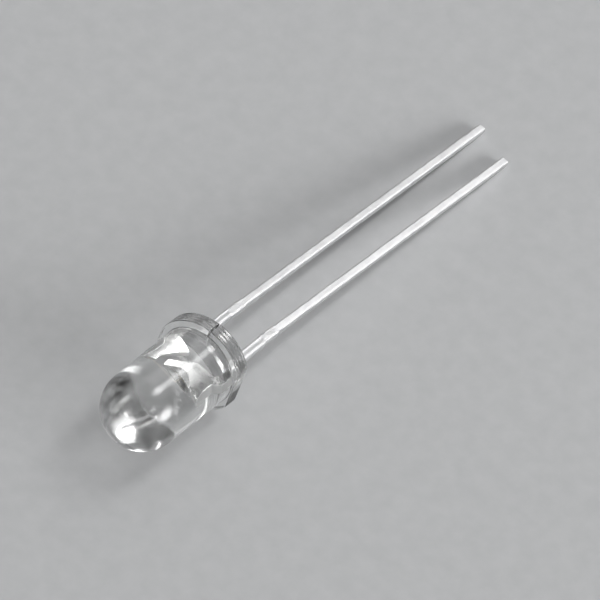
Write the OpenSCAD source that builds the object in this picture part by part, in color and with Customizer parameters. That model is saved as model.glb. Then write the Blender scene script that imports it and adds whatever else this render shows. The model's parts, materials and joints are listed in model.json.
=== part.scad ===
// Through hole light emitting diode: a round clear lens cast over a stamped lead frame.
// Millimetres. The LED lies on a table as it comes to rest: the lens points along +X, and the
// rim of the flange and the tips of both leads touch the plane z = 0.
//
// Every piece is drawn in the frame of the lens, and lie_down() then lays it on the table. In the
// frame of the lens, z runs from the seating plane at the foot of the flange up to the dome, x
// runs across the two leads with the cathode on the + side, and y is square to the stamped sheet.

/* [Lens] */
// Diameter of the round body
body_d = 5; // [4.6:0.1:6]
// Height of the body, from the seating plane to the top of the dome
body_h = 8.8; // [7.3:0.1:12]
// How far the flange stands out from the body
flange_lip = 0.45; // [0.3:0.05:0.8]
// Height of the flange
flange_h = 1; // [0.6:0.1:1.5]
// How far the flat on the cathode's side stands out from the body
flat_lip = 0.1; // [0:0.05:0.2]
// Radius on the outer edges of the flange
flange_edge_r = 0.1; // [0.05:0.05:0.2]
// Radius where the body runs out into the flange
root_r = 0.12; // [0.05:0.01:0.2]

/* [Leads] */
// Distance between the two leads, from centre to centre
lead_pitch = 2.54; // [2.2:0.02:3.1]
// Width of a lead, cut from the sheet
lead_w = 0.5; // [0.4:0.05:0.6]
// Thickness of the sheet
sheet_t = 0.5; // [0.4:0.05:0.6]
// Length of the cathode lead below the seating plane
cathode_len = 27; // [20:0.5:40]
// How much longer the anode lead is
anode_extra = 1; // [0.5:0.1:3]
// Chamfer at the cut tips of the leads
tip_cut = 0.08; // [0.02:0.01:0.1]
// How far the cathode lead's neck, next to the flange, stands out on its outer side
cathode_neck = 0.1; // [0.06:0.01:0.2]
// How far the anode lead's neck stands out on its outer side
anode_neck = 0.03; // [0.02:0.01:0.04]
// Length of the necks below the seating plane
neck_len = 3.65; // [2.1:0.05:4.5]
// How far the stub of the tie bar, next to the neck, stands out on each side
stub_out = 0.05; // [0.045:0.005:0.055]
// Length of the stub of the tie bar along the lead
stub_len = 1.35; // [0.5:0.05:2]
// Degrees by which the leads lean towards the cathode's side, from the end of the neck
lead_lean = 1.7; // [0:0.1:3]

/* [Lead frame in the lens] */
// Height of the top of the frame above the seating plane
frame_top = 3.75; // [3.5:0.05:4.6]
// Gap between the top of the anvil and the anode post
frame_gap = 0.25; // [0.2:0.01:0.35]
// Height at which the gap stops being upright and starts to slant
slant_z = 3.2; // [2.8:0.05:3.3]
// Distance from the axis to the inner corner of the anode's flag
flag_x = 0.43; // [0.3:0.01:0.6]
// Height of the inner corner of the anode's flag
flag_z = 1.75; // [1.6:0.05:2]
// Distance from the axis to the lower corner of the anvil, on the cathode's side
foot_x = 0.05; // [-0.05:0.01:0.3]
// Height of the lower corner of the anvil
foot_z = 1.9; // [1.75:0.05:2.1]
// Depth of the locking notch in the outer side of the anvil
anvil_notch = 0.4; // [0.2:0.01:0.5]
// Depth of the locking notch in the outer side of the anode post
post_notch = 0.22; // [0.1:0.01:0.3]
// Height of the lower end of the notches
notch_z = 2.15; // [2:0.05:2.3]
// Length of the notches
notch_len = 0.8; // [0.4:0.05:0.9]
// Radius of the corners of the stamping
stamp_r = 0.1; // [0.04:0.01:0.12]

/* [Reflector cup] */
// Radius of the mouth of the cup
cup_mouth_r = 0.5; // [0.4:0.01:0.6]
// Radius of the floor of the cup
cup_floor_r = 0.27; // [0.25:0.01:0.35]
// Depth of the cup
cup_deep = 0.36; // [0.25:0.01:0.45]
// Thickness of the cup's rim
cup_wall = 0.12; // [0.08:0.01:0.2]
// Height of the swelling of the sheet round the cup
bell_h = 0.8; // [0.6:0.05:1]

/* [Chip and wire] */
// Side of the square chip
chip_w = 0.28; // [0.2:0.01:0.33]
// Height of the chip
chip_h = 0.12; // [0.08:0.01:0.15]
// Thickness of the glue under the chip
glue_t = 0.03; // [0.02:0.01:0.04]
// How far the glue shows past the corners of the chip
glue_out = 0.02; // [0.01:0.01:0.03]
// Diameter of the bond wire
wire_d = 0.025; // [0.02:0.005:0.05]
// Height of the loop of the wire above the top of the frame
loop_h = 0.4; // [0.3:0.05:1]
// Radius of the bend at the top of the loop
loop_r = 0.2; // [0.12:0.01:0.25]
// Diameter of the ball that joins the wire to the chip
ball_d = 0.09; // [0.06:0.01:0.12]
// Height of that ball, which is squashed flat
ball_h = 0.03; // [0.02:0.005:0.05]

/* [Hidden] */
$fn = 96;
corner_steps = 5;                  // straight pieces in a rounded corner of a stamping
over = 0.05;                       // how far a cutting shape runs past a face

// Lens
body_r = body_d / 2;
dome_z = body_h - body_r;
flange_r = body_r + flange_lip;
flat_x = body_r + flat_lip;

// Leads: distances of their inner and outer sides from the axis
lead_in = (lead_pitch - lead_w) / 2;
lead_out = (lead_pitch + lead_w) / 2;
anode_len = cathode_len + anode_extra;

// Lead frame inside the lens
bell_r = cup_mouth_r + cup_wall;
bell_foot_r = sheet_t / 2 - over;   // the swelling starts just inside the sheet's faces
wing = 0.08;                       // sheet left beside the cup on the anode's side
anvil_left = bell_r + wing;
post_in = anvil_left + frame_gap;
anvil_flare = 0.25;                // from the lead's outer side in to the anvil's top corner
post_flare = 0.12;                 // and in to the anode post's top corner
neck_top = 0.3;                    // height above the seating plane at which the neck starts
shoulder = 0.05;                   // swelling of the outer side under the notch
shoulder_z = 0.95;                 // height at which it starts
notch_ramp = 0.65;                 // length of the slope from the swelling down into the notch
web_z = 1.6;                       // height of the web that carries the anvil
crotch_z = 1.1;                    // height at which both posts start to widen inwards

// Cup, chip and wire
cup_floor_z = frame_top - cup_deep;
cup_slope = (cup_mouth_r - cup_floor_r) / cup_deep;
glue_r = chip_w / sqrt(2) + glue_out;
chip_z = cup_floor_z + glue_t;
chip_top = chip_z + chip_h;
ball_top = chip_top + ball_h;
wire_r = wire_d / 2;
bend_r = wire_r + 0.0005;          // the bend is a touch thicker than the two straight runs,
bury = 0.004;                      // which end this far inside it
stitch_x = -(post_in + lead_out - post_flare) / 2;
stitch_d = 2.6 * wire_d;           // the wire is pressed flat where it ends on the post
stitch_h = 0.6 * wire_d;
bend_at = [-loop_r, frame_top + loop_h - loop_r];
to_stitch = [stitch_x, frame_top + stitch_h / 2] - bend_at;
slant_len = sqrt(to_stitch * to_stitch - loop_r * loop_r);
// The bend turns from straight up to the line that leaves its arc for the stitch
bend_turn = 360 + atan2(to_stitch[1], to_stitch[0]) - atan2(slant_len, loop_r);

// Rest on the table. The ground is the plane through the lower edge of each lead's tip that also
// touches the rim of the flange. In the frame of the lens its upward normal is along
// [-skew * slope, 1, slope]: it tips sideways because the anode lead is the longer one.
cathode_tip_x = lead_out - tip_cut + sway(cathode_len);
anode_tip_x = -(lead_out - tip_cut) + sway(anode_len);
skew = anode_extra / (lead_pitch - sway(anode_len) + sway(cathode_len));
reach = cathode_len + skew * cathode_tip_x;
slope = settle(0, 8);
spread = sqrt(1 + pow(skew * slope, 2) + slope * slope);
roll = -atan(skew * slope);
lift = asin(slope / spread);
rest_h = (slope * reach + sheet_t / 2) / spread;
front_x = dome_z * cos(lift) + body_r;
tip_rise = sheet_t / 2 * cos(roll) + anode_tip_x * sin(roll);
back_x = -anode_len * cos(lift) - tip_rise * sin(lift);
flat_half = sqrt(flange_r * flange_r - flat_x * flat_x);
flat_side = flat_x * cos(roll) - flat_half * sin(roll);
tip_side = (cathode_tip_x + tip_cut) * cos(roll) - sheet_t / 2 * sin(roll);
mid_x = (front_x + back_x) / 2;
mid_y = (max(flat_side, tip_side) - flange_r) / 2;

// Sideways shift of the leads at a distance down from the seating plane
function sway(down) = max(0, down - neck_len) * tan(lead_lean);

// Slope of the ground under the lens, found by repeating: the rim rests on its rounded edge
function settle(s, steps) =
    let (
        side = sqrt(1 + pow(skew * s, 2)),
        all = sqrt(1 + pow(skew * s, 2) + s * s),
        rim = (flange_r - flange_edge_r) * side + flange_edge_r * (all - s)
    )
    steps == 0 ? s : settle((rim - sheet_t / 2) / reach, steps - 1);

// Unit vector along v
function unit(v) = v / norm(v);

// Round corner of radius r at q, between its neighbours p and s; the sharp corner where r is 0
function corner(p, q, s, r) =
    r == 0 ? [q] :
    let (
        u = unit(p - q),
        v = unit(s - q),
        half = acos(u * v) / 2,
        centre = q + unit(u + v) * r / sin(half),
        start = q + u * r / tan(half) - centre,
        finish = q + v * r / tan(half) - centre,
        turn = acos(max(-1, min(1, unit(start) * unit(finish)))),
        side = start[0] * finish[1] - start[1] * finish[0] > 0 ? 1 : -1
    )
    [for (i = [0 : corner_steps]) let (a = side * turn * i / corner_steps)
        centre + [start[0] * cos(a) - start[1] * sin(a), start[0] * sin(a) + start[1] * cos(a)]];

// Closed outline through points [x, z, r], each with its own corner radius r
function rounded(path) =
    let (n = len(path), at = [for (p = path) [p[0], p[1]]])
    [for (i = [0 : n - 1]) each corner(at[(i + n - 1) % n], at[i], at[(i + 1) % n], path[i][2])];

// Lays the frame of the lens on the table, with the origin at the bottom centre of the whole
module lie_down()
    translate([-mid_x, -mid_y, rest_h])
        rotate([0, -lift, 0])
            rotate(120, [1, 1, 1])
                rotate(roll)
                    children();

// Outline of one stamping, with its outer side at +x. neck is how far its neck stands out, deep the
// depth of the locking notch, flare the place of the top corner, and inner the list of points down
// the inner side.
function stamping_path(length, neck, deep, flare, inner) =
    let (stub_end = -neck_len - stub_len)
    concat(
        [
            [lead_in + tip_cut, -length, 0],
            [lead_out - tip_cut, -length, 0],
            [lead_out, -length + tip_cut, 0],
            [lead_out, stub_end, 0],
            [lead_out + stub_out, stub_end, 0],
            [lead_out + stub_out, -neck_len, 0],
            [lead_out + neck, -neck_len, 0],
            [lead_out + neck, neck_top, 0],
            [lead_out, neck_top, 0],
            [lead_out, shoulder_z, stamp_r],
            [lead_out + shoulder, shoulder_z + 2 * shoulder, stamp_r],
            [lead_out + shoulder, notch_z - notch_ramp, stamp_r],
            [lead_out - deep, notch_z, stamp_r],
            [lead_out - deep, notch_z + notch_len, stamp_r],
            [lead_out - flare, frame_top, stamp_r / 2]
        ],
        inner,
        [
            [lead_in, crotch_z, stamp_r],
            [lead_in, -neck_len, 0],
            [lead_in - stub_out, -neck_len, 0],
            [lead_in - stub_out, stub_end, 0],
            [lead_in, stub_end, 0],
            [lead_in, -length + tip_cut, 0]
        ]
    );

anvil_side = [
    [-anvil_left, frame_top, stamp_r],
    [-anvil_left, slant_z, stamp_r],
    [foot_x, foot_z, stamp_r],
    [lead_in - stamp_r, web_z, 2 * stamp_r]
];

flag_side = [
    [post_in, frame_top, stamp_r / 2],
    [post_in, slant_z, stamp_r],
    [flag_x, flag_z, stamp_r],
    [(flag_x + lead_in) / 2, (flag_z + crotch_z) / 2, stamp_r]
];

// The same path on the anode's side of the axis
function mirrored(path) = [for (p = path) [-p[0], p[1], p[2]]];

// The same path with the leads' lean
function leaned(path) = [for (p = path) [p[0] + sway(-p[1]), p[1], p[2]]];

// A flat stamping cut from the sheet to an outline in x and z
module stamping(path)
    rotate([90, 0, 0])
        linear_extrude(sheet_t, center = true)
            polygon(rounded(leaned(path)));

// Half section of the casting: body, dome, and the flange with its rounded edges
module lens_section() {
    edge_x = flange_r - flange_edge_r;
    square([body_r, dome_z]);
    intersection() {
        translate([0, dome_z]) circle(body_r);
        square([body_r + over, body_h + over]);
    }
    square([edge_x, flange_h]);
    translate([0, flange_edge_r]) square([flange_r, flange_h - 2 * flange_edge_r]);
    for (z = [flange_edge_r, flange_h - flange_edge_r])
        translate([edge_x, z]) circle(flange_edge_r);
    difference() {
        translate([body_r - over, flange_h - over]) square(root_r + over);
        translate([body_r + root_r, flange_h + root_r]) circle(root_r);
    }
}

// The casting without the space for the pieces it holds
module lens_outside()
    difference() {
        rotate_extrude() lens_section();
        translate([flat_x, -flange_r, -over])
            cube([flange_lip + over, 2 * flange_r, flange_h + 2 * over]);
    }

module cathode_shape()
    difference() {
        union() {
            stamping(stamping_path(cathode_len, cathode_neck, anvil_notch, anvil_flare, anvil_side));
            translate([0, 0, frame_top - bell_h]) cylinder(bell_h, bell_foot_r, bell_r);
        }
        translate([0, 0, cup_floor_z])
            cylinder(cup_deep + over, cup_floor_r, cup_mouth_r + over * cup_slope);
    }

module anode_shape()
    stamping(mirrored(stamping_path(anode_len, anode_neck, post_notch, post_flare, flag_side)));

module glue_shape()
    translate([0, 0, cup_floor_z])
        cylinder(glue_t, glue_r, glue_r - glue_out / 2);

module chip_shape()
    translate([-chip_w / 2, -chip_w / 2, chip_z]) cube([chip_w, chip_w, chip_h]);

// Ball on the chip, straight rise, bend, slanted run and flattened end on the anode post
module wire_shape() {
    translate([0, 0, chip_top])
        intersection() {
            translate([0, 0, ball_h / 2]) sphere(ball_d / 2);
            cylinder(ball_h, ball_d / 2, ball_d / 2);
        }
    translate([0, 0, ball_top - ball_h / 2])
        cylinder(bend_at[1] - ball_top + ball_h / 2 + bury, wire_r, wire_r);
    translate([bend_at[0], 0, bend_at[1]])
        rotate([90, 0, 0])
            rotate_extrude(angle = bend_turn)
                translate([loop_r, 0]) circle(bend_r);
    difference() {
        translate([bend_at[0], 0, bend_at[1]])
            rotate([0, -bend_turn, 0])
                translate([loop_r, 0, -bury]) cylinder(slant_len + bury, wire_r, wire_r);
        translate([stitch_x - over, -over, frame_top - over]) cube([4 * over, 2 * over, over]);
    }
    translate([stitch_x, 0, frame_top]) cylinder(stitch_h, stitch_d / 2, stitch_d / 2);
}

module lens()
    color([0.86, 0.92, 0.96, 0.4])
        lie_down() difference() {
            lens_outside();
            cathode_shape();
            anode_shape();
            glue_shape();
            chip_shape();
            wire_shape();
        }

module cathode_lead()
    color("silver") lie_down() cathode_shape();

module anode_lead()
    color("silver") lie_down() anode_shape();

module chip_glue()
    color("gainsboro") lie_down() glue_shape();

module chip()
    color("gold") lie_down() chip_shape();

module bond_wire()
    color("goldenrod") lie_down() wire_shape();

lens();
cathode_lead();
anode_lead();
chip_glue();
chip();
bond_wire();
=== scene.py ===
# %% [markdown]
# # A through hole LED, from its lead frame out to its lens
#
# An LED of this kind is made from the inside outwards. Two flat leads are stamped from one sheet of
# iron and plated. One of them carries a little cup with the chip glued into it, a hair-thin gold wire
# runs from the chip to the other, and then clear epoxy is cast round it all, which makes the body, the
# dome and the flange in one go. The pieces are finished here in the same order, and lit last.
#
# The imported model comes first. It is the frame that everything else has to fit.

# %% Load the frame
import json
import math

import bmesh
import bpy
from mathutils import Matrix, Vector, noise


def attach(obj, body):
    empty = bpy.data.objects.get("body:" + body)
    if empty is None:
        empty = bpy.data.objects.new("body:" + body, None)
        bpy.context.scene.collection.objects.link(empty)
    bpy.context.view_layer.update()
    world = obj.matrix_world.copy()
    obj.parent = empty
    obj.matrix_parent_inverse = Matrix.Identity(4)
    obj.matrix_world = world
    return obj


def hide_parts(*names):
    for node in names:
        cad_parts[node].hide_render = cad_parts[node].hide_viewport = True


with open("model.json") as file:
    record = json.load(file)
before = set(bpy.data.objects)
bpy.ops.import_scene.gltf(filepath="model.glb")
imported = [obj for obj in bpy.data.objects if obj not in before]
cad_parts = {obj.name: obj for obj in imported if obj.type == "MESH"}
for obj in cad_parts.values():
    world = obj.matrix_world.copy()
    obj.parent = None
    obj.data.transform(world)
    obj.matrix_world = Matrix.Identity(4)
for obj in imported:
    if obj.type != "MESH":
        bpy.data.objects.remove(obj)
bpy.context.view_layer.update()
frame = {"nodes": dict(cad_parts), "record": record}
print("nodes:", sorted(frame["nodes"]))

# %% [markdown]
# ## The frame of the lens
#
# The LED lies on a table, tilted, so its pieces would be awkward to draw in the table's own
# directions. A maker draws them along the axis of the body instead: z from the foot of the flange up
# to the dome, x across the two leads, y square to the stamped sheet, all in millimetres. The record
# states the body's axis and the direction of the flange's flat, and those two are enough to find that
# frame. One matrix then lays whatever was drawn there down on the table, in metres.

# %% Find the frame of the lens
MM = 0.001
mounts = {mount["name"]: mount for mount in frame["record"]["mounts"]}
axis = Vector(mounts["body_barrel"]["axis"])
across = Vector(mounts["cathode_flat"]["axis"])
square = axis.cross(across)
seat = Vector(mounts["seating_face"]["pos_m"])
barrel_middle = Vector(mounts["body_barrel"]["pos_m"])
foot = barrel_middle - axis * (barrel_middle - seat).dot(axis)

turn = Matrix((across, square, axis)).transposed().to_4x4()
place = Matrix.Translation(foot) @ turn @ Matrix.Scale(MM, 4)
unplace = place.inverted()
print(f"the lens rises {math.degrees(math.asin(axis.z)):.2f} degrees from the table")

# %% [markdown]
# The same mounts give most sizes of the casting, so nothing has to be measured twice. `along` reads
# them off. Where no mount says it, `extent` does: it turns a node's corners back into the frame of
# the lens and takes their box.

# %% Read the sizes of the pieces
def extent(node):
    """Lowest and highest corner of a node's box in the frame of the lens, in millimetres."""
    points = [unplace @ v.co for v in frame["nodes"][node].data.vertices]
    low = Vector([min(p[i] for p in points) for i in range(3)])
    high = Vector([max(p[i] for p in points) for i in range(3)])
    return low, high


def along(mount, direction):
    """Distance of a mount from the foot of the lens along a direction, in millimetres."""
    return (Vector(mounts[mount]["pos_m"]) - foot).dot(direction) / MM


body_r = mounts["body_barrel"]["dims"]["r_mm"]
barrel_half = mounts["body_barrel"]["dims"]["length_mm"] / 2
dome_z = along("body_barrel", axis) + barrel_half
flange_h = along("flange_shoulder", axis)
root_r = along("body_barrel", axis) - barrel_half - flange_h
flat_x = along("cathode_flat", across)
flange_r = extent("lens")[1].y
frame_top = extent("anode_lead")[1].z
print(f"body {2 * body_r:.2f} mm, flange {2 * flange_r:.2f} mm, dome starts at {dome_z:.2f} mm")

# %% [markdown]
# ## Helpers for finishes
#
# Every finish below is a small tree of nodes. Writing `add(tree, "ShaderNodeTexNoise", Scale=40)`
# keeps the lines short: capital names are the node's own sockets, and the rest are its settings.
# Textures are drawn in the frame of the lens too. A Mapping node of the Texture kind undoes a move, a
# turn and a scale, so with the lens's own place in it, it hands each point back in millimetres.
# `stretched` then draws a texture out along one direction, as rolling does to metal, and `ramp` turns
# its greys into tones.

# %% Helpers for node trees
def add(tree, kind, **values):
    """A new node. Values with a capital are its sockets, and the others are its settings."""
    node = tree.nodes.new(kind)
    for name, value in values.items():
        socket = node.inputs.get(name.replace("_", " ")) if name[0].isupper() else None
        if socket is None:
            setattr(node, name, value)
        elif isinstance(value, bpy.types.NodeSocket):
            tree.links.new(value, socket)
        else:
            socket.default_value = value
    return node


def finish(name):
    """A new material with one Principled shader: (material, tree, shader, output)."""
    material = bpy.data.materials.new(name)
    material.use_nodes = True
    tree = material.node_tree
    output = tree.nodes["Material Output"]
    return material, tree, tree.nodes["Principled BSDF"], output


def lens_millimetres(tree):
    """A socket that gives each point in the frame of the lens, in millimetres."""
    where = add(tree, "ShaderNodeTexCoord")
    mapping = add(tree, "ShaderNodeMapping", vector_type="TEXTURE", Vector=where.outputs["Object"])
    mapping.inputs["Location"].default_value = foot
    mapping.inputs["Rotation"].default_value = turn.to_euler()
    mapping.inputs["Scale"].default_value = (MM, MM, MM)
    return mapping.outputs["Vector"]


def stretched(tree, vector, scale):
    """The same points with each direction scaled by itself, to draw a texture out along one."""
    return add(tree, "ShaderNodeMapping", Vector=vector, Scale=scale).outputs["Vector"]


def ramp(tree, factor, *stops):
    """A colour ramp through (position, colour) stops; a single number is a grey."""
    node = add(tree, "ShaderNodeValToRGB", Fac=factor)
    elements = node.color_ramp.elements
    while len(elements) < len(stops):
        elements.new(0.5)
    for element, (position, colour) in zip(elements, stops):
        element.position = position
        element.color = (colour, colour, colour, 1) if isinstance(colour, float) else (*colour, 1)
    return node.outputs["Color"]


# %% [markdown]
# ## Silver and tin on stamped iron
#
# The leads are cut by a punch from rolled sheet and plated with silver. Three things can be seen on
# them. The rolled faces carry faint lines along the lead. The sheared edges are duller and carry
# lines across the sheet, where the punch dragged down them. And the plating is never quite even, so
# its shine varies in soft clouds. Outside the casting the leads are also dipped in tin, so that
# solder takes to them, and tin is greyer and much duller than silver.
#
# This could be three materials, with the mesh split between them. One is simpler, because the surface
# already knows what it is: its normal tells a rolled face from a sheared one, and its height along
# the lens tells silver from tin.

# %% Finish of the plated lead frame
along_the_lead = (60, 60, 1.5)
across_the_sheet = (30, 3, 30)
cloud_scale = 2.2
line_depth = 0.01


def plated_finish():
    material, tree, shader, output = finish("plated_frame")
    point = lens_millimetres(tree)
    rolled_lines = add(tree, "ShaderNodeTexNoise", Vector=stretched(tree, point, along_the_lead),
                       Scale=1.0, Detail=3.0)
    sheared_lines = add(tree, "ShaderNodeTexNoise", Vector=stretched(tree, point, across_the_sheet),
                        Scale=1.0, Detail=4.0)
    clouds = add(tree, "ShaderNodeTexNoise", Vector=point, Scale=cloud_scale, Detail=4.0)

    # 1 on a rolled face, 0 on a sheared one: how far the normal lies along y of the lens
    geometry = add(tree, "ShaderNodeNewGeometry")
    facing = add(tree, "ShaderNodeVectorMath", operation="DOT_PRODUCT")
    tree.links.new(geometry.outputs["True Normal"], facing.inputs[0])
    facing.inputs[1].default_value = square
    either_side = add(tree, "ShaderNodeMath", operation="ABSOLUTE")
    tree.links.new(facing.outputs["Value"], either_side.inputs[0])
    is_rolled = ramp(tree, either_side.outputs[0], (0.45, 0.0), (0.75, 1.0))

    lines = add(tree, "ShaderNodeMix", Factor=is_rolled)
    tree.links.new(sheared_lines.outputs["Fac"], lines.inputs["A"])
    tree.links.new(rolled_lines.outputs["Fac"], lines.inputs["B"])
    bump = add(tree, "ShaderNodeBump", Strength=0.25, Distance=line_depth * MM,
               Height=lines.outputs[0])

    rough_rolled = ramp(tree, clouds.outputs["Fac"], (0.3, 0.16), (0.75, 0.26))
    rough_sheared = ramp(tree, sheared_lines.outputs["Fac"], (0.3, 0.34), (0.7, 0.5))
    rough_silver = add(tree, "ShaderNodeMix", data_type="RGBA", Factor=is_rolled)
    tree.links.new(rough_sheared, rough_silver.inputs["A"])
    tree.links.new(rough_rolled, rough_silver.inputs["B"])

    # 1 on the silver inside the casting, 0 on the tin outside it
    height = add(tree, "ShaderNodeSeparateXYZ", Vector=point)
    is_inside = ramp(tree, height.outputs["Z"], (0.0, 0.0), (0.1, 1.0))
    rough_tin = ramp(tree, clouds.outputs["Fac"], (0.3, 0.5), (0.75, 0.62))
    rough = add(tree, "ShaderNodeMix", data_type="RGBA", Factor=is_inside)
    tree.links.new(rough_tin, rough.inputs["A"])
    tree.links.new(rough_silver.outputs["Result"], rough.inputs["B"])

    silver = ramp(tree, clouds.outputs["Fac"], (0.3, (0.70, 0.70, 0.70)), (0.7, (0.80, 0.80, 0.79)))
    tin = ramp(tree, clouds.outputs["Fac"], (0.3, (0.54, 0.54, 0.55)), (0.7, (0.64, 0.64, 0.64)))
    colour = add(tree, "ShaderNodeMix", data_type="RGBA", Factor=is_inside)
    tree.links.new(tin, colour.inputs["A"])
    tree.links.new(silver, colour.inputs["B"])
    tree.links.new(colour.outputs["Result"], shader.inputs["Base Color"])
    tree.links.new(rough.outputs["Result"], shader.inputs["Roughness"])
    tree.links.new(bump.outputs["Normal"], shader.inputs["Normal"])
    shader.inputs["Metallic"].default_value = 1.0
    return material


plated = plated_finish()
print("made", plated.name)

# %% [markdown]
# ## Pieces that are drawn in millimetres
#
# Each piece is made on a bench in the frame of the lens, and laid down when it is done. It is made in
# millimetres, because Blender's boolean and remesh tools take very short lengths for nothing, and in
# metres the rounding of these edges would be that short.

# %% Bench tools
def lay_down(mesh, name, material, node):
    """Makes a piece from a mesh in the frame of the lens, in place of a CAD node."""
    mesh.transform(place)
    piece = bpy.data.objects.new(name, mesh)
    bpy.context.scene.collection.objects.link(piece)
    mesh.materials.clear()
    mesh.materials.append(material)
    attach(piece, "root")
    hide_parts(node)
    print(f"{name}: {len(mesh.polygons)} faces")
    return piece


def on_bench(mesh):
    """An object that lends a mesh to Blender's tools for a while."""
    bench = bpy.data.objects.new("bench", mesh)
    bpy.context.scene.collection.objects.link(bench)
    return bench


def with_modifier(mesh, kind, **settings):
    """The mesh after one modifier, worked out while it is still in millimetres."""
    bench = on_bench(mesh)
    modifier = bench.modifiers.new(kind, kind)
    for setting, value in settings.items():
        setattr(modifier, setting, value)
    depsgraph = bpy.context.evaluated_depsgraph_get()
    done = bpy.data.meshes.new_from_object(bench.evaluated_get(depsgraph))
    bpy.data.objects.remove(bench)
    return done


def mesh_of(shape, name):
    """A finished bmesh as a smooth mesh, with its normals pointing out."""
    mesh = bpy.data.meshes.new(name)
    bmesh.ops.recalc_face_normals(shape, faces=shape.faces)
    for face in shape.faces:
        face.smooth = True
    shape.to_mesh(mesh)
    shape.free()
    return mesh


# %% [markdown]
# ## The stamped heads of the leads
#
# The part of each lead that is cast in is a flat head, cut by a punch. A punched edge is never a
# knife edge: the punch draws it round on one side, and plating rounds the rest. That rounding catches
# most of the light. A bevel would be the usual way to it, but a bevel tears where the cone of the cup
# grows out of the flat sheet. So the head is rebuilt from small even faces with a voxel remesh, and
# a few passes of smoothing then wear its edges round, about as far as plating does.

# %% Cut the head off the frame's mesh and wear its edges round
same_point = 0.0005
cut_z = 0.12
voxel = 0.02
smooth_passes = 5
sheet_half = extent("anode_lead")[1].y
print(f"head top at {frame_top:.2f} mm, sheet {2 * sheet_half:.2f} mm thick")


def head(node):
    """The mesh of a lead's head, closed where it was cut, with its edges worn round."""
    shape = bmesh.new()
    shape.from_mesh(frame["nodes"][node].data)
    shape.transform(unplace)
    bmesh.ops.remove_doubles(shape, verts=shape.verts, dist=same_point)
    everything = shape.verts[:] + shape.edges[:] + shape.faces[:]
    cut = bmesh.ops.bisect_plane(shape, geom=everything, plane_co=(0, 0, cut_z),
                                 plane_no=(0, 0, 1), clear_inner=True)
    rim = [part for part in cut["geom_cut"] if isinstance(part, bmesh.types.BMEdge)]
    bmesh.ops.holes_fill(shape, edges=rim)
    mesh = with_modifier(mesh_of(shape, "head"), "REMESH", mode="VOXEL", voxel_size=voxel)
    return with_modifier(mesh, "SMOOTH", factor=0.5, iterations=smooth_passes)


# %% [markdown]
# Along the top of the cathode's head, beside the cup, the sheet was not cut but torn from its
# neighbour in the strip. The edge there is drawn down and lumpy, so the small faces near it are
# pushed in by a noise.

# %% Tear the upper edge of the cathode's head
torn_from = 0.5
torn_reach = 0.24
torn_depth = 0.1
lump = 0.12
lump_share = 1.6
elsewhere = Vector((7, 7, 7))


def tear(mesh):
    """Draws the torn edge down into the sheet, more in one place than in the next."""
    torn = 0
    for vertex in mesh.vertices:
        x, y, z = vertex.co
        away = math.hypot(frame_top - z, sheet_half - y)
        if x < torn_from or away > torn_reach:
            continue
        near = (1 - away / torn_reach) * min(1.0, (x - torn_from) / lump)
        inwards = noise.noise(vertex.co / lump)
        vertex.co.y -= near * torn_depth * (1 + lump_share * inwards)
        downwards = noise.noise(vertex.co / lump + elsewhere)
        vertex.co.z -= near * torn_depth * (0.5 + lump_share * downwards)
        torn += 1
    print(torn, "points of the torn edge moved")
    return mesh


# %% [markdown]
# ## The leads outside the casting
#
# Outside, the sheet was cut into two narrow strips, and each was dipped in molten tin. Tin pulls
# itself round at the edges of a narrow strip, so the section is a soft square, and the light fades out
# over its edges and never ends at a line. Corners in the frame's mesh say at which heights a
# lead changes its width: at the end of its neck, of the stub of the tie bar that held the leads
# together, and at the tip. A slice just above and one just below each of them give the widths.

# %% Where each lead is wide
blend = 0.03
leads = ("cathode_lead", "anode_lead")


def levels_below(node):
    """Heights at which the outline of a lead has corners, from the flange down to the tip."""
    heights = {round((unplace @ v.co).z, 2) for v in frame["nodes"][node].data.vertices}
    return sorted((z for z in heights if z < 0), reverse=True)


def slice_at(node, z):
    """(middle, half width) of a lead at one height."""
    mesh = frame["nodes"][node].data
    points = [unplace @ v.co for v in mesh.vertices]
    xs = []
    for edge in mesh.edges:
        low, high = sorted((points[i] for i in edge.vertices), key=lambda p: p.z)
        if low.z < z < high.z:
            xs.append(low.x + (high.x - low.x) * (z - low.z) / (high.z - low.z))
    return (min(xs) + max(xs)) / 2, (max(xs) - min(xs)) / 2


for node in leads:
    print(node, [(z, round(slice_at(node, z + blend)[1], 3)) for z in levels_below(node)])

# %% [markdown]
# The section of a strip is a soft square. A square with an arc at each corner would do, but an arc
# starts and ends at a line where the shine breaks. A superellipse has no such line: it is a circle
# whose sides are pushed out, and `squareness` says how far. A circle has 2, and a sharp square would
# have no end.

# %% Section of a lead
squareness = 5.5
ring_points = 72


def soft_square(half_x, half_y, twist):
    """Points of one ring round its middle. A positive twist turns its top towards the cathode."""
    cos_twist, sin_twist = math.cos(math.radians(twist)), math.sin(math.radians(twist))
    points = []
    for i in range(ring_points):
        angle = 2 * math.pi * (i + 0.5) / ring_points
        c, s = math.cos(angle), math.sin(angle)
        x = math.copysign(abs(c) ** (2 / squareness), c) * half_x
        y = math.copysign(abs(s) ** (2 / squareness), s) * half_y
        points.append(Vector((x * cos_twist + y * sin_twist, y * cos_twist - x * sin_twist, 0)))
    return points


print(len(soft_square(sheet_half, sheet_half, 0)), "points in a ring")

# %% [markdown]
# Three small things break the shine of the leads. The necks above the tie bar carry a fine groove
# from the stamping tool, which `grooved` presses into the upper face. The tin sets in low, long
# lumps, and where the tie bar was cut off there are small pits as well. `lumpy` draws the points of a
# ring in by a noise for both. A bump in the material would give the same light, but not the same
# outline, and up close the outline is what tells a dipped lead from a drawn one.

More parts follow.
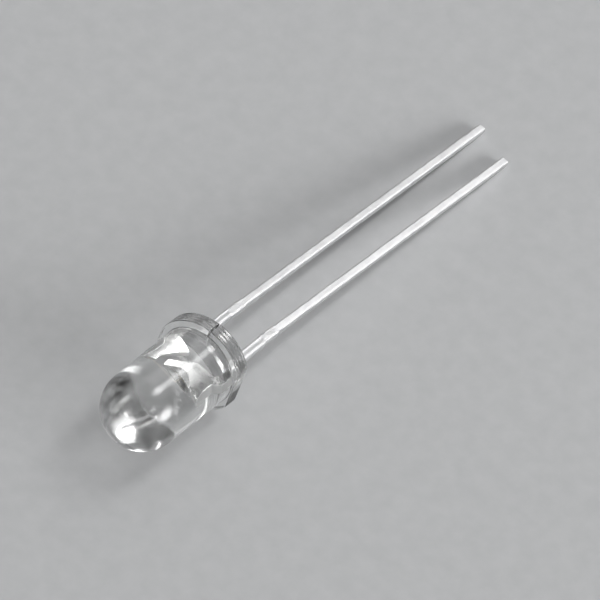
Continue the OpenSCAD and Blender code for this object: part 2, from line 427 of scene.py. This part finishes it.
# %% Groove, lumps and pits
groove_x = -0.1
groove_half = 0.03
groove_depth = 0.05
lump_height = 0.012
lump_size = Vector((0.25, 0.25, 0.7))
stub_reach = 1.3
pit_depth = 0.03
pit_size = 0.14


def grooved(point):
    """A point of a ring, pressed in where the groove runs down the sheet's upper face."""
    if point.y < 0:
        return point
    off = (point.x - groove_x) / groove_half
    return point - Vector((0, groove_depth * math.exp(-off * off), 0))


def near_stub(steps, z):
    """1 in the middle of the cut tie bar's stub, where the metal is rough, and 0 away from it."""
    away = (z - (steps[0] + steps[1]) / 2) / stub_reach
    return max(0.0, 1 - away * away)


def lumpy(point, centre, pits):
    """A point of a ring, drawn in towards its middle by the lumps and pits of the tin."""
    where = Vector(point[i] / lump_size[i] for i in range(3))
    depth = lump_height * (0.5 + noise.noise(where))
    depth += pits * pit_depth * (0.5 + noise.noise(point / pit_size))
    return point - (point - centre).normalized() * depth


for node in leads:
    steps = levels_below(node)
    print(f"{node}: groove down to {steps[0]} mm, pits round {(steps[0] + steps[1]) / 2:.2f} mm")

# %% [markdown]
# A lead is now a list of rings: where each one lies, how wide it is and where its middle is. Between
# two heights at which the width changes they are spread evenly, and at the tip they draw in along a
# quarter circle, as tin does round a cut end.

# %% Rings down a lead
ring_gap = 0.06
tip_round = 0.05
tip_steps = 5


def rings_down(node):
    """(height, middle, half width, half thickness) of each ring, from the flange to the tip."""
    *changes, tip_edge, tip = levels_below(node)
    heights = [cut_z + blend]
    for z in changes:
        heights += [z + blend, z - blend]
    path = [(z, *slice_at(node, z)) for z in heights]
    path.append((tip + tip_round, *slice_at(node, tip_edge + blend)))
    rings = []
    for (z0, m0, w0), (z1, m1, w1) in zip(path, path[1:]):
        count = max(1, round((z0 - z1) / ring_gap))
        rings += [(z0 + (z1 - z0) * i / count, m0 + (m1 - m0) * i / count,
                   w0 + (w1 - w0) * i / count, sheet_half) for i in range(count)]
    end_z, end_m, end_w = path[-1]
    for i in range(tip_steps + 1):
        turned_by = math.pi / 2 * i / tip_steps
        inset = tip_round * (1 - math.cos(turned_by))
        rings.append((end_z - tip_round * math.sin(turned_by), end_m, end_w - inset, sheet_half - inset))
    return rings


for node in leads:
    print(node, "has", len(rings_down(node)), "rings")

# %% [markdown]
# The skin is stretched over the rings. A strip this thin is never quite straight, so its middle sways
# by a few thousandths of a millimetre, and a lead can be twisted by a few degrees, which sets in
# slowly below the neck. With the cathode's twisted and the anode's not, the two don't catch the light
# alike.

# %% Draw a strip through its rings
wobble = 0.008
wobble_length = 2.5
twist_length = 2.0


def strip(node, twist):
    """The mesh of a lead outside the casting, closed at both ends."""
    steps = levels_below(node)
    shape = bmesh.new()
    loops = []
    for z, middle, half_x, half_y in rings_down(node):
        below = max(0.0, steps[0] - z)
        sway_x = noise.noise((0, 0, z / wobble_length)) * wobble * min(1.0, below)
        sway_y = noise.noise((9, 0, z / wobble_length)) * wobble * min(1.0, below)
        centre = Vector((middle + sway_x, sway_y, z))
        ring = soft_square(half_x, half_y, twist * min(1.0, below / twist_length))
        if z > steps[0]:
            ring = [grooved(p) for p in ring]
        pits = near_stub(steps, z)
        loops.append([shape.verts.new(lumpy(centre + p, centre, pits)) for p in ring])
    for upper, lower in zip(loops, loops[1:]):
        for i in range(ring_points):
            j = (i + 1) % ring_points
            shape.faces.new((upper[i], upper[j], lower[j], lower[i]))
    shape.faces.new(loops[0])
    shape.faces.new(loops[-1])
    return mesh_of(shape, "strip")


# %% [markdown]
# Head and strip are two closed shapes that overlap a little inside the flange. A boolean union makes
# one skin of them, and weighted normals keep the flats flat where they meet the roundings.

# %% Join head and strip
def lead(head_mesh, node, name, twist):
    """A whole lead: its head and its strip joined, finished and laid down."""
    strip_bench = on_bench(strip(node, twist))
    joined = with_modifier(head_mesh, "BOOLEAN", operation="UNION", object=strip_bench,
                           solver="EXACT")
    bpy.data.objects.remove(strip_bench)
    mesh = with_modifier(joined, "WEIGHTED_NORMAL", keep_sharp=True)
    return lay_down(mesh, name, plated, node)


cathode = lead(tear(head("cathode_lead")), "cathode_lead", "cathode_stamping", twist=4)
anode = lead(head("anode_lead"), "anode_lead", "anode_stamping", twist=0)

# %% [markdown]
# ## Clear epoxy
#
# The body is one casting of clear epoxy. What makes it look cast, and not blown like glass, is small:
# the surface swims a little, there are faint hairlines, and it is a shade less than water clear. The
# dome forms at the bottom of the mould's cup, which is the hardest place to polish, so it is a touch
# hazier than the barrel, and the glow in it is soft.
#
# The shader is a Principled one that transmits. Lamps are let through by a Transparent shader that
# only shadow rays and diffuse rays see, because a lamp can't find its way along a bent path to the
# frame inside. That stand-in is darker where the surface is seen edge on, as the rim of a real lens's
# shadow is.

# %% Finish of the epoxy
slow_swim = (0.9, 0.9, 0.5)
fine_lines = (14, 14, 1.2)
hairline_share = 0.03
swim_depth = 0.4
haze_rise = 1.5
dome_haze = 0.07
epoxy_ior = 1.53


def epoxy_finish():
    material, tree, shader, output = finish("clear_epoxy")
    point = lens_millimetres(tree)
    swim = add(tree, "ShaderNodeTexNoise", Vector=stretched(tree, point, slow_swim),
               Scale=1.0, Detail=2.0)
    hairlines = add(tree, "ShaderNodeTexNoise", Vector=stretched(tree, point, fine_lines),
                    Scale=1.0, Detail=5.0)
    height = add(tree, "ShaderNodeMath", operation="MULTIPLY_ADD")
    tree.links.new(hairlines.outputs["Fac"], height.inputs[0])
    height.inputs[1].default_value = hairline_share
    tree.links.new(swim.outputs["Fac"], height.inputs[2])
    bump = add(tree, "ShaderNodeBump", Strength=0.06, Distance=swim_depth * MM,
               Height=height.outputs[0])
    rough = ramp(tree, hairlines.outputs["Fac"], (0.45, 0.06), (0.8, 0.11))
    height_in_lens = add(tree, "ShaderNodeSeparateXYZ", Vector=point).outputs["Z"]
    haze = add(tree, "ShaderNodeMapRange", Value=height_in_lens, From_Min=dome_z,
               From_Max=dome_z + haze_rise, To_Min=0.0, To_Max=dome_haze)
    rough_with_haze = add(tree, "ShaderNodeMath", operation="ADD")
    tree.links.new(rough, rough_with_haze.inputs[0])
    tree.links.new(haze.outputs[0], rough_with_haze.inputs[1])
    tree.links.new(rough_with_haze.outputs[0], shader.inputs["Roughness"])
    tree.links.new(bump.outputs["Normal"], shader.inputs["Normal"])
    shader.inputs["Base Color"].default_value = (0.985, 0.99, 0.985, 1)
    shader.inputs["IOR"].default_value = epoxy_ior
    shader.inputs["Transmission Weight"].default_value = 1.0

    rim = add(tree, "ShaderNodeLayerWeight", Blend=0.35)
    shade = ramp(tree, rim.outputs["Facing"], (0.0, 0.93), (0.85, 0.45))
    through = add(tree, "ShaderNodeBsdfTransparent", Color=shade)
    path = add(tree, "ShaderNodeLightPath")
    surface = shader.outputs[0]
    for ray in ("Is Diffuse Ray", "Is Shadow Ray"):
        both = add(tree, "ShaderNodeMixShader")
        tree.links.new(path.outputs[ray], both.inputs[0])
        tree.links.new(surface, both.inputs[1])
        tree.links.new(through.outputs[0], both.inputs[2])
        surface = both.outputs[0]
    tree.links.new(surface, output.inputs["Surface"])
    return material


epoxy = epoxy_finish()
print("made", epoxy.name)

# %% [markdown]
# ## The casting
#
# The casting is a turned shape, so it starts as half an outline: the seating face, the flange with
# its rounded edges, the straight barrel and a quarter circle for the dome. Light bends at this
# surface, and a coarse one would show every facet in what is seen through it, so the outline is
# turned in fine steps. The mould leaves the wall of the flange in three low ridges, and these split
# the light along it into lines. Only the outside is made: epoxy wets the metal that it is cast on, so
# there is no second surface between the two for light to meet.

# %% Half outline of the casting
edge_r = 0.1
edge_steps = 10
barrel_steps = 24
dome_steps = 90
seat_steps = 64
rim_steps = 48
ridges = 3
ridge_depth = 0.01


def arc(centre_r, centre_z, radius, start, end, steps):
    """Points of an arc in the half outline, from one angle to another, in degrees."""
    angles = [math.radians(start + (end - start) * i / steps) for i in range(steps + 1)]
    return [(centre_r + radius * math.cos(a), centre_z + radius * math.sin(a)) for a in angles]


rim_r = flange_r - edge_r
barrel_foot = flange_h + root_r
rim_height = flange_h - 2 * edge_r
outline = [(rim_r * i / seat_steps, 0.0) for i in range(seat_steps)]
outline += arc(rim_r, edge_r, edge_r, -90, 0, edge_steps)
outline += [(flange_r - ridge_depth * math.sin(math.pi * ridges * i / rim_steps) ** 2,
             edge_r + rim_height * i / rim_steps) for i in range(1, rim_steps)]
outline += arc(rim_r, flange_h - edge_r, edge_r, 0, 90, edge_steps)
outline += arc(body_r + root_r, flange_h + root_r, root_r, 270, 180, edge_steps)
outline += [(body_r, barrel_foot + (dome_z - barrel_foot) * i / barrel_steps)
            for i in range(1, barrel_steps)]
outline += arc(0.0, dome_z, body_r, 0, 90, dome_steps)
print(f"{len(outline)} points in the half outline")

# %% [markdown]
# The flange is cut flat on the cathode's side, which is how the two leads are told apart when they
# have been trimmed. Instead of a cut with a knife edge, the lip is drawn in: for each direction round
# the axis, `lip_reach` says how far out the rim goes there, along the circle or along the chord, with
# a soft corner between the two.

# %% How far the rim reaches
turn_steps = 288
flat_softness = 0.04


def lip_reach(angle):
    """How far the rim of the flange stands from the axis in one direction."""
    facing = math.cos(angle)
    if facing <= 0:
        return flange_r
    chord = flat_x / facing
    gap = chord - flange_r
    return (chord + flange_r - math.sqrt(gap * gap + flat_softness ** 2)) / 2


print(f"the rim reaches {lip_reach(0):.2f} mm at the flat, {lip_reach(math.pi):.2f} mm opposite")

# %% [markdown]
# The LED is cast upside down, in a cup, with its leads standing up out of the liquid. So the seating
# face is the one face that no mould has shaped. The epoxy shrinks as it sets and draws in there,
# climbs a little up each lead and keeps slow waves, and much of what glints in a clear lens is light
# that this face has turned about. A flat face would send the light back as one flat patch.

# %% The open face of the casting
dish = 0.09
dish_power = 3
climb = 0.10
climb_width = 0.14
wave_height = 0.012
wave_length = 0.45
wave_fade = 4
neck_z = -0.5
necks = {}
for node in leads:
    middle, half = slice_at(node, neck_z)
    necks[node] = middle, half
    print(f"{node} leaves the casting at x {middle - half:.2f} to {middle + half:.2f} mm")


def from_lead(x, y):
    """Distance from a point of the seating face to the nearest lead."""
    nearest = flange_r
    for middle, half in necks.values():
        gap_x = max(abs(x - middle) - half, 0.0)
        gap_y = max(abs(y) - sheet_half, 0.0)
        nearest = min(nearest, math.hypot(gap_x, gap_y))
    return nearest


def seat_height(x, y):
    """Height of the open face in one place. Plus is into the casting."""
    inward = 1 - (math.hypot(x, y) / rim_r) ** dish_power
    if inward <= 0:
        return 0.0
    waves = wave_height * noise.noise(Vector((x, y, 0)) / wave_length)
    climbing = climb * math.exp(-from_lead(x, y) / climb_width)
    return dish * inward + waves * min(1.0, wave_fade * inward) - climbing


# %% [markdown]
# Blender's Screw modifier would turn the outline round, but it knows nothing of the flat or of the
# waves on the open face. So the rings are laid here in a loop, one for each point of the outline, and
# the two shapes above are asked for the radius and the height as each point is made. A point that the
# outline has at height 0 lies on the open face, and takes its height from there. On the axis a ring is
# one single point, and `dict.fromkeys` drops its repeats, which leaves a triangle there.

# %% Turn the outline round
def turned(outline):
    """The mesh of the casting, turned from its half outline."""
    shape = bmesh.new()
    rings = []
    for radius, height in outline:
        if radius < same_point:
            tip = height if height else seat_height(0, 0)
            rings.append([shape.verts.new((0, 0, tip))] * turn_steps)
            continue
        ring = []
        for step in range(turn_steps):
            angle = 2 * math.pi * step / turn_steps
            share = max(0.0, (radius - body_r) / (flange_r - body_r))
            reach = radius - share * (flange_r - lip_reach(angle))
            x, y = reach * math.cos(angle), reach * math.sin(angle)
            ring.append(shape.verts.new((x, y, height if height else seat_height(x, y))))
        rings.append(ring)
    for low, high in zip(rings, rings[1:]):
        for step in range(turn_steps):
            after = (step + 1) % turn_steps
            corners = [low[step], low[after], high[after], high[step]]
            shape.faces.new(list(dict.fromkeys(corners)))
    return mesh_of(shape, "casting")


casting = lay_down(turned(outline), "lens_casting", epoxy, "lens")

# %% [markdown]
# ## Chip, glue and wire
#
# The chip is a little block of semiconductor, sawn from a wafer. It stands on a dab of silver-filled
# glue, which is dull and grainy. The wire is gold, but so thin that it looks paler than gold does.
# All three are drawn well enough in the frame, so they keep its meshes and only get their finish, and
# one function makes all three finishes: two tones, a roughness and a grain of the right size.

# %% Finishes of the chip, the glue and the wire
grain_depth = 0.004
roughness_spread = 0.12


def simple_finish(name, dark, light, roughness, metallic, grain):
    """A finish in two tones with one grain, for pieces too small to show more."""
    material, tree, shader, output = finish(name)
    speckle = add(tree, "ShaderNodeTexNoise", Vector=lens_millimetres(tree), Scale=grain, Detail=4.0)
    colour = ramp(tree, speckle.outputs["Fac"], (0.3, dark), (0.7, light))
    rough = ramp(tree, speckle.outputs["Fac"], (0.3, roughness), (0.7, roughness + roughness_spread))
    bump = add(tree, "ShaderNodeBump", Strength=0.3, Distance=grain_depth * MM,
               Height=speckle.outputs["Fac"])
    tree.links.new(colour, shader.inputs["Base Color"])
    tree.links.new(rough, shader.inputs["Roughness"])
    tree.links.new(bump.outputs["Normal"], shader.inputs["Normal"])
    shader.inputs["Metallic"].default_value = metallic
    return material


inner_finishes = {
    "chip": simple_finish("chip", (0.42, 0.40, 0.34), (0.56, 0.53, 0.45), 0.15, 0.0, 12.0),
    "chip_glue": simple_finish("silver_glue", (0.45, 0.45, 0.44), (0.75, 0.75, 0.72), 0.5, 0.6, 25.0),
    "bond_wire": simple_finish("pale_gold", (0.66, 0.62, 0.54), (0.78, 0.74, 0.66), 0.25, 1.0, 40.0),
}
for node, material in inner_finishes.items():
    piece = frame["nodes"][node]
    piece.data.materials.clear()
    piece.data.materials.append(material)
    print(node, "is finished as", material.name)

# %% [markdown]
# ## The table
#
# A plain, pale grey table with a faint grain. It is quite dull, because a table with any gloss turns
# into a mirror of the lamps when it is seen from low down. It isn't white either: a clear lens shows
# what lies behind it, and only a table darker than the highlights lets them stand out.

# %% Table
table_grain = 900.0
floor_half = 4.0


def floor_finish():
    material, tree, shader, output = finish("floor")
    grain = add(tree, "ShaderNodeTexNoise", Scale=table_grain, Detail=4.0)
    tree.links.new(add(tree, "ShaderNodeTexCoord").outputs["Object"], grain.inputs["Vector"])
    colour = ramp(tree, grain.outputs["Fac"], (0.3, (0.44, 0.445, 0.45)), (0.7, (0.47, 0.475, 0.48)))
    tree.links.new(colour, shader.inputs["Base Color"])
    shader.inputs["Roughness"].default_value = 0.9
    shader.inputs["Specular IOR Level"].default_value = 0.0
    return material


floor_mesh = bpy.data.meshes.new("floor")
corners = [(-floor_half, -floor_half, 0), (floor_half, -floor_half, 0),
           (floor_half, floor_half, 0), (-floor_half, floor_half, 0)]
floor_mesh.from_pydata(corners, [], [(0, 1, 2, 3)])
floor_mesh.materials.append(floor_finish())
floor = bpy.data.objects.new("floor", floor_mesh)
bpy.context.scene.collection.objects.link(floor)
print("floor", 2 * floor_half, "m wide")

# %% [markdown]
# ## Lamps
#
# Clear epoxy and bright metal show hardly any colour of their own, only what is round them, so the
# lamps draw most of this picture. They are soft boxes: large area lamps whose cloth is brightest in
# the middle, which gives every highlight a soft edge. A plain area lamp is equally bright all over,
# so `fade_to_edges` gives it a tree of nodes, as a material has, that dims it away from its middle.
#
# A lamp's power is spread over its area, so `soft_box` works the power out from a brightness. It
# places a lamp by two angles from the LED, which makes it easy to say what each lamp does.

# %% A soft box
lamp_distance = 1.5


def fade_to_edges(data):
    """Makes a lamp brightest in its middle, as the cloth of a soft box is."""
    data.use_nodes = True
    tree = data.node_tree
    where = add(tree, "ShaderNodeNewGeometry").outputs["Parametric"]
    centred = add(tree, "ShaderNodeVectorMath", operation="SUBTRACT")
    tree.links.new(where, centred.inputs[0])
    centred.inputs[1].default_value = (0.5, 0.5, 0)
    away = add(tree, "ShaderNodeVectorMath", operation="LENGTH")
    tree.links.new(centred.outputs[0], away.inputs[0])
    glow = ramp(tree, away.outputs["Value"], (0.15, 1.6), (0.5, 0.1))
    tree.links.new(glow, tree.nodes["Emission"].inputs["Strength"])


def soft_box(name, from_foot, round_axis, length, width, brightness):
    """An area lamp over the table, its length lying the way the LED lies, in metres.

    from_foot is its angle from the way the leads point, and round_axis its angle round the LED from
    straight above.
    """
    data = bpy.data.lights.new(name, "AREA")
    data.shape = "RECTANGLE"
    data.size, data.size_y = length, width
    data.energy = brightness * math.pi * length * width
    fade_to_edges(data)
    lamp = bpy.data.objects.new(name, data)
    bpy.context.scene.collection.objects.link(lamp)
    tip, round_x = math.radians(from_foot), math.radians(round_axis)
    back = Vector((-math.cos(tip), math.sin(tip) * math.sin(round_x),
                   math.sin(tip) * math.cos(round_x)))
    side = back.cross(Vector((1, 0, 0))).normalized()
    lamp.matrix_world = Matrix((side.cross(back), side, back)).transposed().to_4x4()
    lamp.location = back * lamp_distance
    print(f"lamp {name}: {length} m by {width} m, {data.energy:.1f} W")
    return lamp


# %% [markdown]
# The strip, with a wider and weaker cloth round it, stands where the upper faces of the leads mirror
# it, and it also lights the dome. The panel opens the shadows on the other side. The side lamp is for
# the walls of the leads and the rim of the flange. Seen through the epoxy it would be a hard white
# patch, so rays that pass through the epoxy don't see it. With all four together, a colour on the
# table renders about as it is written.

# %% Four lamps
soft_box("strip", 59, 12, length=1.5, width=0.6, brightness=7.0)
soft_box("cloth", 59, 12, length=1.8, width=1.5, brightness=1.0)
soft_box("panel", 50, -25, length=1.2, width=0.9, brightness=0.9)
side_lamp = soft_box("side", 80, 72, length=1.5, width=0.8, brightness=10.0)
side_lamp.visible_transmission = False

# %% [markdown]
# The surround is what the lens mirrors where there is no lamp. An even pale one would wash the lens
# out, so it is pale near the horizon and goes dark towards the top, as a room with a dark ceiling
# does. Close to the horizon it has the table's own tone, which hides where the table ends.

# %% Surround
world = bpy.data.worlds.new("surround")
world.use_nodes = True
bpy.context.scene.world = world
sky = world.node_tree
direction = add(sky, "ShaderNodeTexCoord").outputs["Generated"]
up = add(sky, "ShaderNodeSeparateXYZ", Vector=direction).outputs["Z"]
sky_stops = [
    (0.0, (0.62, 0.625, 0.63)),
    (0.03, (0.80, 0.805, 0.81)),
    (0.2, (0.40, 0.40, 0.405)),
    (0.5, (0.08, 0.08, 0.082)),
]
shade = ramp(sky, up, *sky_stops)
sky.links.new(shade, sky.nodes["Background"].inputs["Color"])
print("surround in", len(sky_stops), "tones")

# %% [markdown]
# ## The camera
#
# The camera looks down on the LED over its dome, and is rolled a little, so that the leads run up to
# the right. It stands more than a metre away, because from so far off the two leads look parallel, as
# they are, and a very long lens still lets a thing as small as an LED fill the picture.

# %% Camera
azimuth = math.radians(115.98)
elevation = math.radians(48.71)
roll = math.radians(15.94)
look_at = Vector((-0.18, 0.12, 0.0)) * MM
view_width = 34.88 * MM
lens_mm = 1200

camera_data = bpy.data.cameras.new("camera")
camera = bpy.data.objects.new("camera", camera_data)
bpy.context.scene.collection.objects.link(camera)
back = Vector((math.sin(azimuth) * math.cos(elevation), -math.cos(azimuth) * math.cos(elevation),
               math.sin(elevation)))
distance = view_width * lens_mm / camera_data.sensor_width
camera_data.lens = lens_mm
camera_data.clip_end = 10
camera.location = look_at + back * distance
level = (-back).to_track_quat("-Z", "Y")
rolled = Matrix.Rotation(roll, 4, "Z").to_quaternion()
camera.rotation_mode = "QUATERNION"
camera.rotation_quaternion = level @ rolled
bpy.context.scene.camera = camera
bpy.context.scene.view_settings.view_transform = "Standard"
print(f"camera {distance:.2f} m away")
